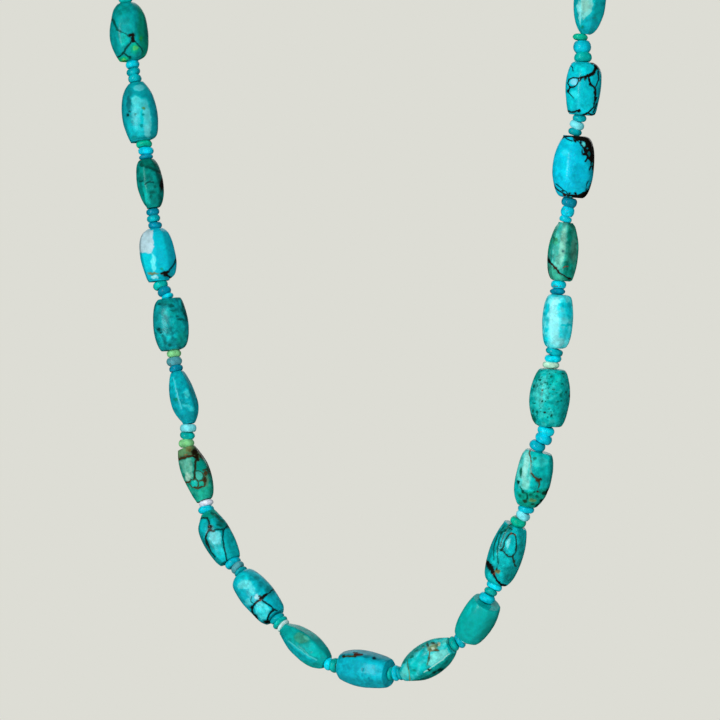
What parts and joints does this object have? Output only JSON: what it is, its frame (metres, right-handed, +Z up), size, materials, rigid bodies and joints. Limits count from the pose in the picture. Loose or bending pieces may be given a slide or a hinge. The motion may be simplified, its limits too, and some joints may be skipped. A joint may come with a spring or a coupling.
{
  "type": "beaded necklace",
  "caption": "Long necklace of turquoise barrel beads with small disc beads between them, hanging as worn, a loop with a barrel clasp at the nape.",
  "frame": {"origin": "the nape: the middle of the clasp, where the loop hangs on the back of the neck", "axes": "+Z up, the front of the loop faces -Y, +X to the right as seen from the front"},
  "size_m": [0.1445, 0.0808, 0.2214],
  "materials": {
    "turquoise_green": "waxed, soft gloss, dark matrix",
    "turquoise_blue": "waxed, soft gloss, dark matrix",
    "turquoise_pale": "waxed, soft gloss, faint matrix",
    "spacer_turquoise": "waxed, soft gloss",
    "silver": "polished silver"
  },
  "bodies": {
    "root": {"barrel_01": "turquoise_green", "barrel_02": "turquoise_blue", "barrel_03": "turquoise_pale", "barrel_04": "turquoise_green", "barrel_05": "turquoise_green", "barrel_06": "turquoise_blue", "barrel_07": "turquoise_green", "barrel_08": "turquoise_blue", "barrel_09": "turquoise_green", "barrel_10": "turquoise_pale", "barrel_11": "turquoise_green", "barrel_12": "turquoise_blue", "barrel_13": "turquoise_green", "barrel_14": "turquoise_blue", "barrel_15": "turquoise_blue", "barrel_16": "turquoise_green", "barrel_17": "turquoise_blue", "barrel_18": "turquoise_pale", "barrel_19": "turquoise_green", "barrel_20": "turquoise_green", "barrel_21": "turquoise_pale", "barrel_22": "turquoise_green", "barrel_23": "turquoise_pale", "barrel_24": "turquoise_green", "barrel_25": "turquoise_blue", "barrel_26": "turquoise_blue", "barrel_27": "turquoise_pale", "barrel_28": "turquoise_pale", "barrel_29": "turquoise_green", "barrel_30": "turquoise_green", "barrel_31": "turquoise_blue", "barrel_32": "turquoise_pale", "barrel_33": "turquoise_green", "spacer_string": "spacer_turquoise", "clasp": "silver"}
  },
  "joints": []
}
